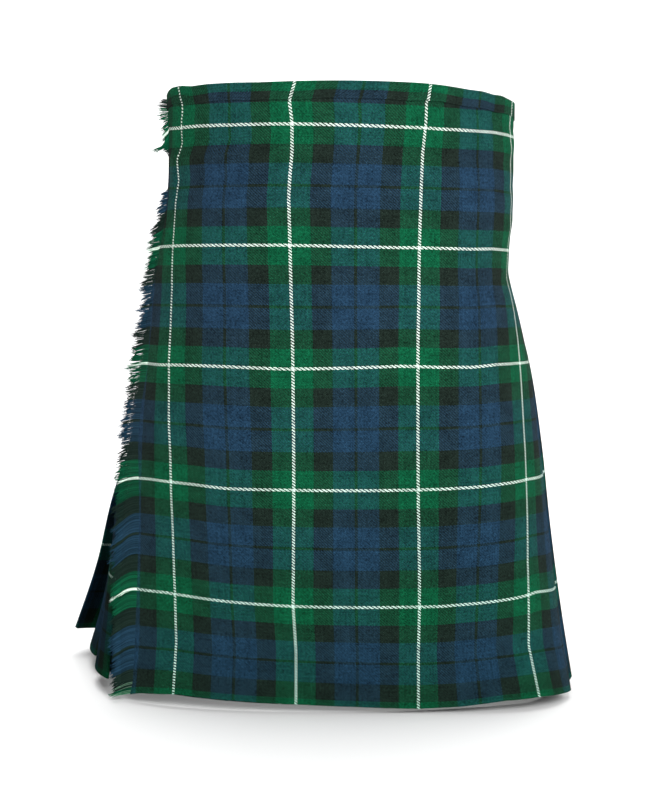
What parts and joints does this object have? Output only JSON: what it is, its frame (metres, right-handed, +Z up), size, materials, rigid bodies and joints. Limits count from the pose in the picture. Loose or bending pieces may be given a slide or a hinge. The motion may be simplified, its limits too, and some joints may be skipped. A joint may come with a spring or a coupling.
{
  "type": "scottish kilt",
  "caption": "Worn tartan kilt, knee length: flat over apron with a fringed edge, knife pleats round the back, an under apron, a waistband and buckled leather waist straps.",
  "frame": {"origin": "middle of the wearer's waist, level with the waistband's top edge", "axes": "+X towards the wearer's left, +Y towards the wearer's back, +Z up"},
  "size_m": [0.5474, 0.3527, 0.6109],
  "materials": {
    "tartan_wool": "2/2 twill worsted wool in green, blue and black checks with a white line, matt",
    "wool_fringe": "loose wool ends, matt",
    "strap_leather": "smooth black leather, satin",
    "buckle_steel": "nickel-plated, polished"
  },
  "bodies": {
    "root": {"over_apron": "tartan_wool", "pleated_back": "tartan_wool", "under_apron": "tartan_wool", "waistband": "tartan_wool", "apron_fringe": "wool_fringe", "strap_right": "strap_leather", "tab_right": "strap_leather", "buckle_right": "buckle_steel", "prong_right": "buckle_steel", "keeper_right": "strap_leather", "strap_left": "strap_leather", "tab_left": "strap_leather", "buckle_left": "buckle_steel", "prong_left": "buckle_steel", "keeper_left": "strap_leather"}
  },
  "joints": []
}
